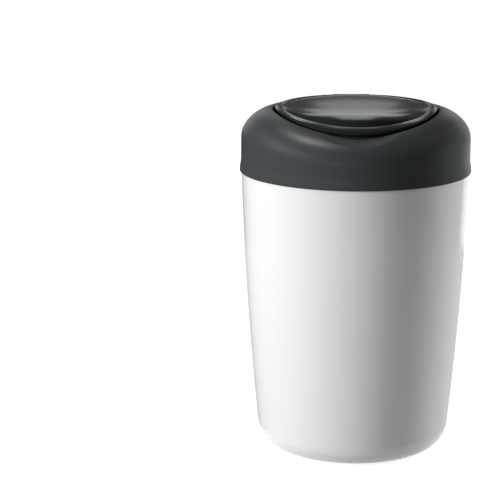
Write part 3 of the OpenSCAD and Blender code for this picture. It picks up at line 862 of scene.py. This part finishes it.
def seal_ribs(r):
    """Two ribs on the liner's underside with a seal between them."""
    low = LINER_Z - RIB_H
    pairs = [(r - RIB_W, r), (r + SEAL_W, r + SEAL_W + RIB_W)]
    return [c for a, b in pairs for c in
            ((a, LINER_Z, 0.2), (a, low, 0.2), (b, low, 0.2), (b, LINER_Z + 0.01))]


liner = turned("liner_moulding", rounded([
    (0, LINER_Z + DISH_H), (DISH_R, LINER_Z + DISH_H, 1.2), (DISH_R + 1.2, LINER_Z, 1.0),
    *seal_ribs(INNER_SEAL_R), *seal_ribs(OUTER_SEAL_R), (LINER_R, LINER_Z + 0.4, 0.3),
    (LINER_R, LINER_TOP, 0.3), (fit_r, LINER_TOP), (fit_r, LINER_TOP + FIT_H, 0.4),
    (fit_r - LINER_T, LINER_TOP + FIT_H, 0.4), (fit_r - LINER_T, LINER_TOP, 0.6),
    (DISH_R + 1.2 + LINER_T, LINER_TOP, 1.0), (DISH_R + LINER_T, LINER_TOP + DISH_H, 1.6),
    (0, LINER_TOP + DISH_H),
]), 192, closed=False)


def long_slot(name, length, width, low, high):
    """A block with round ends along X, made from a cylinder whose halves are drawn apart."""
    made = primitive(
        bpy.ops.mesh.primitive_cylinder_add, name, vertices=64, radius=width / 2 * MM,
        depth=(high - low) * MM, location=(0, 0, (low + high) / 2 * MM),
        rotation=(0, 0, math.pi / 64),
    )
    points = points_of(made)
    points[:, 0] += (length - width) / 2 * np.sign(points[:, 0])
    move_points(made, points)
    return made


CUTTER_L, CUTTER_W, FLANGE_W = 30, 10, 2
cut(liner, long_slot("slot", CUTTER_L, CUTTER_W, LINER_Z + 1, LINER_TOP + DISH_H + 2))
edit(liner)
close_edit()
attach(liner, "lid")
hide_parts("lid_liner")


def seal(name, node, r, face_z):
    """A soft ring whose thin lip leans out to the face that it closes on."""
    low, top = LINER_Z - RIB_H, LINER_Z - 0.05
    piece = turned(name, rounded([
        (r + 0.05, top), (r + SEAL_W - 0.05, top), (r + SEAL_W - 0.05, low, 0.3),
        (r + SEAL_W + 0.9, face_z + 0.9, 0.3), (r + SEAL_W + 0.7, face_z + 0.15, 0.3),
        (r + SEAL_W - 0.3, face_z + 0.15, 0.2), (r + SEAL_W - 1.2, low - 0.8, 0.4),
        (r + 0.4, low - 0.8, 0.3), (r + 0.05, low, 0.2),
    ]), 192)
    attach(piece, "lid")
    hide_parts(node)
    return piece


outer_seal = seal("outer_seal_ring", "outer_seal", OUTER_SEAL_R, LAND_Z)
inner_seal = seal("inner_seal_ring", "inner_seal", INNER_SEAL_R, CASSETTE_TOP)

# %% [markdown]
# ## Film cutter
#
# In the middle of the liner sits the film cutter: a small housing with a flange, and a steel blade
# in its slot, too deep for a finger. The housing is two blocks with round ends that are welded
# together, with a slot taken out, and its edges are bevelled. The blade starts as a thin block that
# is bisected near its edge and near its ends. Its lower rows then rise along the slant, and the
# lowest is drawn together into the ground edge. Its ends sit in a narrow slot in the housing.

# %% Cutter housing and blade
CUTTER_FACE, CUTTER_TOP, MOUTH_TOP, FLANGE_DROP = LINER_Z + DISH_H, 373.5, 371.6, 1.4
housing = long_slot("cutter_block", CUTTER_L - 0.1, CUTTER_W - 0.1, CUTTER_FACE - 0.2, CUTTER_TOP)
flange_size = CUTTER_L + 2 * FLANGE_W, CUTTER_W + 2 * FLANGE_W
cut(housing, long_slot("flange", *flange_size, CUTTER_FACE - FLANGE_DROP, CUTTER_FACE), "UNION")
cut(housing, long_slot("mouth", 22, 3, CUTTER_FACE - 3, MOUTH_TOP))
BLADE_LOW, BLADE_HIGH, BLADE_END = CUTTER_FACE + 0.6, CUTTER_FACE + 4.6, 12
BLADE_HALF_T, SLOT_PLAY = 0.2, 0.02
slot_end, slot_half_t = BLADE_END + SLOT_PLAY, BLADE_HALF_T + SLOT_PLAY / 2
cut(housing, block(
    "blade_slot", (-slot_end, -slot_half_t, CUTTER_FACE - 0.01),
    (slot_end, slot_half_t, BLADE_HIGH + SLOT_PLAY),
))
soften(housing, 0.3)
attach(housing, "lid")
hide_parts("cutter_housing")

EDGE_H, SLANT, SLANT_END, KEENNESS = 0.8, 2.0, 10, 0.05
blade = block(
    "ground_blade", (-BLADE_END, -BLADE_HALF_T, BLADE_LOW), (BLADE_END, BLADE_HALF_T, BLADE_HIGH)
)
edit(blade)
for place, normal in (
    ((-SLANT_END, 0, 0), (1, 0, 0)), ((SLANT_END, 0, 0), (1, 0, 0)),
    ((0, 0, BLADE_LOW + EDGE_H), (0, 0, 1)),
):
    bpy.ops.mesh.select_all(action="SELECT")
    bpy.ops.mesh.bisect(plane_co=Vector(place) * MM, plane_no=normal)
bpy.ops.object.mode_set(mode="OBJECT")
points = points_of(blade)
low_rows = points[:, 2] < BLADE_LOW + EDGE_H + 0.1
lowest_row = points[:, 2] < BLADE_LOW + 0.1
rise = SLANT * np.clip((points[:, 0] + SLANT_END) / (2 * SLANT_END), 0, 1)
points[low_rows, 2] += rise[low_rows]
points[lowest_row, 1] *= KEENNESS
move_points(blade, points)
close_edit(20)
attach(blade, "lid")
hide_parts("cutter_blade")
print("cutter:", len(housing.data.polygons), "and", len(blade.data.polygons), "faces")

# %% [markdown]
# ## Film
#
# The bag is an endless tube of thin film. Its stock lies folded in the tray like a bellows. The
# free end runs over the tray's inner wall, down through the neck, and hangs in the bucket with a
# knot at its end. A cloth simulation could drop it into place, but film keeps its girth, and that
# rule alone gives the shape: wherever the tube is narrower than its own girth, the rest of it
# stands in upright pleats. So the tube is built row by row, and the depth of its pleats follows
# from how much girth is left over. A thin Solidify then gives it two faces.

# %% The hanging tube of film
FILM_R = 55.3  # the tube's own radius, where it is spread out in the cassette's bore
PLEATS, FILM_COLUMNS = 24, 288
NECK_FILM_R, BAG_R, KNOT_Z, FILM_DROP = 48.25, 50.0, 188.5, 106.0
HANGS_FREE_Z, DEEPEST = 310, 0.72  # below this height a pleat is at most this share of the radius
FILM_T = 0.12  # mm; thicker than the real film, so that it has two faces
rng = np.random.default_rng(7)
fall = [(59.0, 349.5), (58.9, 350.6), (58.3, 351.4), (57.2, 351.7), (56.0, 351.3), (55.4, 350.4)]
fall += [(FILM_R, z) for z in np.linspace(348, 317.5, 14)]
fall += [(54.4, 315.6), (52.3, 313.4), (50.2, 311.2), (NECK_FILM_R, 309.0)]
fall += [(NECK_FILM_R, z) for z in np.linspace(307.5, NECK_Z, 4)] + [(48.9, 299.8), (49.6, 297)]
for u in np.linspace(0, 1, 44):
    fall.append((BAG_R * math.cos(math.radians(82 * u)) ** 0.9, 294.5 - (FILM_DROP - 8) * u))
fall += [(7.0, 194.2), (5.4, 191.5), (4.6, KNOT_Z), (4.6, 184.0), (5.0, 180.0), (5.9, 176.0),
         (6.9, 171.5), (7.6, 168.0), (7.9, 166.8)]
angles = 2 * np.pi * np.arange(FILM_COLUMNS + 1) / FILM_COLUMNS
wander = sum(
    rng.uniform(0.04, 0.10) * np.sin(k * angles + rng.uniform(0, 6.28)) for k in (2, 3, 5)
)
depth_of = 0.86 + sum(0.07 * np.sin(k * angles + rng.uniform(0, 6.28)) for k in (3, 7, 11))
rows = []
flank = math.pi * FILM_R / PLEATS
for r, z in fall:
    step = math.pi * min(r, FILM_R) / PLEATS
    deep = math.sqrt(max(0, flank**2 - step**2))
    deep = min(deep, DEEPEST * r) if z < HANGS_FREE_Z else deep
    strays = angles + wander * min(1, (320 - min(z, 320)) / 40)
    drift = 0.35 * math.sin((z - 200) / 31)
    radius = r - deep * depth_of * (0.5 - 0.5 * np.cos(PLEATS * strays + drift))
    heights = np.full_like(angles, z)
    rows.append(np.stack([radius * np.cos(angles), radius * np.sin(angles), heights], 1))


tube = primitive(
    bpy.ops.mesh.primitive_grid_add, "film_tube", x_subdivisions=FILM_COLUMNS,
    y_subdivisions=len(rows) - 1, size=MM,
)
move_points(tube, np.concatenate(rows))
close_seams(tube, SEAM)
apply(tube, "SOLIDIFY", thickness=FILM_T * MM, offset=0)
close_seams(tube, smooth=60)
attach(tube, "head")
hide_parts("film_sleeve")

# %% The knot
KNOT_R, LOOP_R, LOOP_H, STRAND_R = 4.0, 1.9, 3.4, 2.6
knot_curve = bpy.data.curves.new("film_knot", "CURVE")
knot_curve.dimensions = "3D"
spline = knot_curve.splines.new("POLY")
turns = np.linspace(0, 2 * math.pi, 97)[:-1]
spline.points.add(len(turns) - 1)
for point, a in zip(spline.points, turns):
    swing = KNOT_R + LOOP_R * math.cos(3 * a)
    point.co = (swing * math.cos(2 * a) * MM, swing * math.sin(2 * a) * MM,
                (KNOT_Z - 1.0 + LOOP_H * math.sin(3 * a)) * MM, 1)
spline.use_cyclic_u = True
knot_curve.bevel_depth, knot_curve.bevel_resolution = STRAND_R * MM, 6
knot = bpy.data.objects.new("film_knot", knot_curve)
bpy.context.collection.objects.link(knot)
bpy.ops.object.select_all(action="DESELECT")
knot.select_set(True)
bpy.context.view_layer.objects.active = knot
bpy.ops.object.convert(target="MESH")
knot = bpy.context.object
points = points_of(knot)
points += 0.25 * np.sin(points[:, [1, 2, 0]] * 2.1) + 0.12 * np.sin(points[:, [2, 0, 1]] * 5.3)
move_points(knot, points)
close_seams(knot, smooth=60)
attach(knot, "head")
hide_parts("film_sleeve")

# %% The folded stock
PACK_IN, PACK_OUT, PACK_LOW, PACK_HIGH, FOLDS = 59.4, 76.2, 318.2, 348.9, 40
STOCK_T = 0.02  # mm
pitch = (PACK_HIGH - PACK_LOW) / FOLDS
zigzag = []
for i in range(FOLDS):
    inner = PACK_IN + rng.uniform(0, 0.9)
    outer = PACK_OUT - rng.uniform(0, 0.7)
    z = PACK_LOW + pitch * i
    zigzag += [(inner, z), ((inner + outer) / 2, z + 0.22 * pitch), (outer, z + 0.42 * pitch),
               (outer, z + 0.50 * pitch), ((inner + outer) / 2, z + 0.72 * pitch),
               (inner, z + 0.92 * pitch)]
sides = [(-1, 1), (0, 1), (-1, 1), (-1, -1), (0, -1), (-1, -1)] * FOLDS
other_side = [(r + STOCK_T * a, z + STOCK_T * b) for (r, z), (a, b) in zip(zigzag, sides)]
stock = turned("film_stock", zigzag + other_side[::-1], 96)
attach(stock, "head")
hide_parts("film_pack")

# %% [markdown]
# ## Shared effects
#
# Four effects turn up in more than one place, so each is a shader group that is built once. The
# first is the skin of a moulded plastic: a fine grain from the tool, slow waves where the wall has
# sunk a little as it cooled, and patches that are a shade glossier. The second is what handling
# leaves: small scuffs and specks of dust. The third creases film, and the fourth draws out the
# lines of turned or ground steel. Image textures could do the same, but procedural noise on object
# coordinates fits every piece without unwrapping and is sharp at any distance.

# %% Textures that the effects share
def on_bin(tree):
    """Where a point lies on the bin, in metres."""
    return add(tree, "TexCoord").outputs["Object"]


def per_metre(tree, size):
    """Scale of a texture whose pattern has this size in mm."""
    return maths(tree, "DIVIDE", 1000, size)


def noise(tree, where, scale, detail, **more):
    """Value and colour of a noise texture."""
    return add(tree, "TexNoise", Vector=where, Scale=scale, Detail=detail, **more).outputs


def cells(tree, where, scale, feature="F1"):
    """Distance of a point from the middle, or from the edge, of its Voronoi cell."""
    made = add(tree, "TexVoronoi", {"feature": feature}, Vector=where, Scale=scale)
    return made.outputs["Distance"]


def pushed(tree, start, where, scale, detail, reach):
    """A place that is pushed about by slow noise, so that straight lines bend."""
    bent = noise(tree, where, scale, detail)["Color"]
    swirl = add(tree, "VectorMath", {"operation": "SCALE"}, Vector=bent, Scale=reach)
    moved = add(tree, "VectorMath", {"operation": "ADD"}, in_0=start, in_1=swirl.outputs[0])
    return moved.outputs[0]


def bumped(tree, height, strength=1.0):
    """Normal of a surface with this height in metres."""
    return add(tree, "Bump", Height=height, Distance=1.0, Strength=strength).outputs[0]


def spread(tree, base, value, width):
    """The base value, with the part of a noise that is over or under a half added to it."""
    off = times(tree, maths(tree, "SUBTRACT", value, 0.5), width)
    return maths(tree, "ADD", base, off)


# %% Skin of moulded plastic
tree, given, put = new_group(
    "moulded_skin",
    [("Grain", 0.4), ("Grain depth", 0.004), ("Sink", 40.0), ("Sink depth", 0.02),
     ("Gloss spread", 0.05), ("Base roughness", 0.4)],
    [("Normal", "Vector"), ("Roughness", "Float")],
)
where = on_bin(tree)
grain = noise(tree, where, per_metre(tree, given["Grain"]), 2.0, Roughness=0.6)[0]
waves = noise(tree, where, per_metre(tree, given["Sink"]), 1.0)[0]
fine = times(tree, grain, times(tree, given["Grain depth"], MM))
wide = times(tree, waves, times(tree, given["Sink depth"], MM))
patches = noise(tree, where, 28.0, 3.0)[0]
plug(tree, put, Normal=bumped(tree, maths(tree, "ADD", fine, wide)),
     Roughness=spread(tree, given["Base roughness"], patches, given["Gloss spread"]))
print("moulded_skin has", len(tree.nodes), "nodes")

# %% Scuffs and dust from handling
tree, given, put = new_group(
    "handling", [("Scuffs", 0.3), ("Scuff length", 9.0), ("Dust", 0.3), ("Speck", 0.7)],
    [("Mark", "Float")],
)
where = on_bin(tree)
way = pushed(tree, where, where, 55.0, 1.0, 0.02)
lines = cells(tree, way, per_metre(tree, given["Scuff length"]), "DISTANCE_TO_EDGE")
rubbed = ramp(tree, noise(tree, where, 16.0, 2.0)[0], 0.56, 0.66)
scuff = times(tree, ramp(tree, lines, 0.0, 0.018, 1.0, 0.0), rubbed)
apart = times(tree, given["Speck"], 9.0)
speck = ramp(tree, cells(tree, where, per_metre(tree, apart)), 0.03, 0.07, 1.0, 0.0)
mark = maths(tree, "ADD", times(tree, scuff, given["Scuffs"]), times(tree, speck, given["Dust"]))
plug(tree, put, Mark=maths(tree, "MINIMUM", mark, 1.0))
print("handling has", len(tree.nodes), "nodes")

# %% Creases of film
tree, given, put = new_group(
    "film_creases", [("Crease", 7.0), ("Depth", 0.15), ("Milkiness", 0.6), ("Spread", 0.2)],
    [("Normal", "Vector"), ("Cover", "Float"), ("Fold", "Float")],
)
where = on_bin(tree)
stretched = add(tree, "Mapping", Vector=where, Scale=(1, 1, 0.45)).outputs[0]
way = pushed(tree, stretched, where, 60.0, 2.0, 0.012)
edges = cells(tree, way, per_metre(tree, given["Crease"]), "DISTANCE_TO_EDGE")
fold = ramp(tree, edges, 0.0, 0.10, 1.0, 0.0)
height = times(tree, fold, times(tree, given["Depth"], MM))
cover = maths(tree, "ADD", given["Milkiness"], times(tree, fold, given["Spread"]))
plug(tree, put, Normal=bumped(tree, height, 0.8), Fold=fold,
     Cover=maths(tree, "MINIMUM", cover, 1.0))
print("film_creases has", len(tree.nodes), "nodes")

# %% Lines of ground steel
tree, given, put = new_group(
    "ground_steel", [("Along X", 1.0), ("Line", 0.12), ("Base roughness", 0.3), ("Spread", 0.15)],
    [("Normal", "Vector"), ("Roughness", "Float"), ("Stain", "Float")],
)
where = on_bin(tree)
parts_of = add(tree, "SeparateXYZ", Vector=where).outputs
drawn = add(tree, "CombineXYZ", X=times(tree, parts_of["X"], given["Along X"]),
            Y=parts_of["Y"], Z=parts_of["Z"]).outputs[0]
lines = noise(tree, drawn, per_metre(tree, given["Line"]), 2.0)[0]
plug(tree, put, Normal=bumped(tree, times(tree, lines, 0.004 * MM)),
     Roughness=spread(tree, given["Base roughness"], lines, given["Spread"]),
     Stain=ramp(tree, noise(tree, where, 240.0, 3.0)[0], 0.45, 0.7))
print("ground_steel has", len(tree.nodes), "nodes")

# %% [markdown]
# ## Plastics
#
# Each plastic is a colour with the two shared effects over it. The bucket is a smooth, bright
# white that mirrors the room. The hood has a satin face, which a spark-eroded tool gives, and the
# lid is nearly polished. The pieces inside are left as they come from a plainer tool, with a
# coarser grain. The marks are faint on purpose, because the bin in the photograph is new.


# %% Make a plastic
def colour(code):
    """Linear colour from a hex code as seen on screen."""
    parts = [int(code[i : i + 2], 16) / 255 for i in (1, 3, 5)]
    linear = [c / 12.92 if c <= 0.04045 else ((c + 0.055) / 1.055) ** 2.4 for c in parts]
    return (*linear, 1)


def marked(tree, code, mark_code, mask):
    """Colour of a finish, with another colour where the mask is 1."""
    mix = add(tree, "Mix", {"data_type": "RGBA"}, Factor=mask)
    mix.inputs["A"].default_value, mix.inputs["B"].default_value = colour(code), colour(mark_code)
    return next(s for s in mix.outputs if s.type == "RGBA")


def new_finish(name, **sockets):
    """An empty finish, its tree and its shader, with these plain values on the shader."""
    made = bpy.data.materials.new(name)
    made.use_nodes = True
    shader = made.node_tree.nodes["Principled BSDF"]
    for key, value in sockets.items():
        shader.inputs[key.replace("_", " ")].default_value = value
    return made, made.node_tree, shader.inputs


def plastic(name, code, roughness, shine=0.5, mark="#b9b9b6", scuffs=0.15, dust=0.1, **skin):
    """A moulded plastic: its colours, how strongly it mirrors, and values for its skin."""
    made, tree, shader = new_finish(name, Specular_IOR_Level=shine)
    surface = use_group(tree, "moulded_skin", Base_roughness=roughness, **skin)
    marks = use_group(tree, "handling", Scuffs=scuffs, Dust=dust)["Mark"]
    dulled = maths(tree, "ADD", surface["Roughness"], times(tree, marks, 0.25))
    plug(tree, shader, Normal=surface["Normal"], Roughness=dulled,
         Base_Color=marked(tree, code, mark, marks))
    return made


def wear(material, slot, *pieces):
    """Puts a finish on pieces. The slot that it is given is not used."""
    for piece in pieces:
        piece.data.materials.clear()
        piece.data.materials.append(material)


wear(
    plastic("white_bucket", "#f4f4f3", 0.16, mark="#dcdcda", Grain_depth=0.001, Sink_depth=0.02),
    "bucket_plastic", bucket_moulding,
)
wear(
    plastic("satin_hood", "#404446", 0.40, shine=0.25, mark="#5a5e60"),
    "hood_plastic", hood_moulding, hinge_ears, bosses,
)
wear(
    plastic("polished_lid", "#24282a", 0.23, mark="#3c4143"),
    "lid_plastic", lid_moulding, knuckle,
)
wear(
    plastic("grained_inner", "#2c2f31", 0.42, mark="#4b4f51", scuffs=0.5, dust=0.3, Grain=0.6,
            Grain_depth=0.012),
    "inner_plastic", cradle, liner,
)
wear(
    plastic("cutter_grey", "#6f7577", 0.38, mark="#8a8f91", scuffs=0.4, Grain=0.5),
    "cutter_plastic", housing,
)
PLAIN = {"dust": 0.2, "Grain": 0.5, "Grain_depth": 0.008}  # skin of both cassette mouldings
wear(
    plastic("white_tray", "#e6e8e6", 0.40, mark="#c4c7c5", scuffs=0.4, **PLAIN),
    "cassette_plastic", tray,
)
wear(
    plastic("blue_grey_cap", "#a0b4b8", 0.38, mark="#c3d0d3", scuffs=0.35, **PLAIN),
    "cap_plastic", cap,
)
print("finishes so far:", sorted(m.name for m in bpy.data.materials if m.users))

# %% [markdown]
# ## Rubber, steel and film
#
# The seals are a soft grey rubber that scatters light and gathers dust. The screws, the pin and
# the blade are plain steel, ground or drawn along their length, so their gloss is streaky. The
# film is thin and milky: light comes partly through it and it is whiter where it is folded over
# itself. Real see-through film could be a refracting shader, but a sheet so thin hardly bends
# light, so a cover of less than one and a little gloss give the same look at much less noise.

# %% Rubber
seal_rubber, tree, shader = new_finish("soft_seal", Specular_IOR_Level=0.35, Sheen_Weight=0.12)
surface = use_group(tree, "moulded_skin", Base_roughness=0.62, Grain=0.3, Grain_depth=0.01)
marks = use_group(tree, "handling", Scuffs=0.2, Dust=0.8, Speck=0.4)["Mark"]
plug(tree, shader, Normal=surface["Normal"], Roughness=surface["Roughness"],
     Base_Color=marked(tree, "#8c9092", "#c9cbcb", marks))
wear(seal_rubber, "seal_rubber", outer_seal, inner_seal)


# %% Steel
def steel(name, along_x, **lines):
    """Bare steel whose lines run along X when along_x is small."""
    made, tree, shader = new_finish(name, Metallic=1.0)
    surface = use_group(tree, "ground_steel", Along_X=along_x, **lines)
    plug(tree, shader, Normal=surface["Normal"], Roughness=surface["Roughness"],
         Base_Color=marked(tree, "#bfc1c4", "#9b9ea3", surface["Stain"]))
    return made


wear(steel("drawn_pin", 0.04), "steel", pin)
wear(steel("ground_edge", 0.03, Line=0.08, Base_roughness=0.22), "steel", blade)
wear(steel("plated_screw", 1.0, Line=0.5, Base_roughness=0.34), "steel", screws)

# %% Film
film, tree, shader = new_finish("milky_film", Specular_IOR_Level=0.4)
surface = use_group(tree, "film_creases", Crease=7.0, Depth=0.12, Milkiness=0.60, Spread=0.10)
gloss = maths(tree, "ADD", 0.24, times(tree, surface["Fold"], 0.2))
plug(tree, shader, Normal=surface["Normal"], Alpha=surface["Cover"], Roughness=gloss,
     Base_Color=marked(tree, "#dfe8ea", "#f2f6f7", surface["Fold"]))
wear(film, "film", tube, knot, stock)
print("finishes:", sorted(m.name for m in bpy.data.materials if m.users))

# %% [markdown]
# ## Where the highlights fall
#
# In the photograph the soft boxes show in the lid's dome only. The small spark and the faint light
# on the rims and the flare show on the hood only, because a photographer can flag a lamp off with
# a card. Light linking does here what the card does: each of these lamps is given a collection
# with the one piece that it reaches.


# %% Flag the highlight lamps
def shine_only_on(light, lit):
    """Lets a lamp reach this piece alone."""
    reached = bpy.data.collections.new(light.name + "_reach")
    reached.objects.link(lit)
    light.light_linking.receiver_collection = reached


for light in crown_lamps:
    shine_only_on(light, lid_moulding)
for light in hood_lamps:
    shine_only_on(light, hood_moulding)
print("flagged:", [light.name for light in (*crown_lamps, *hood_lamps)])
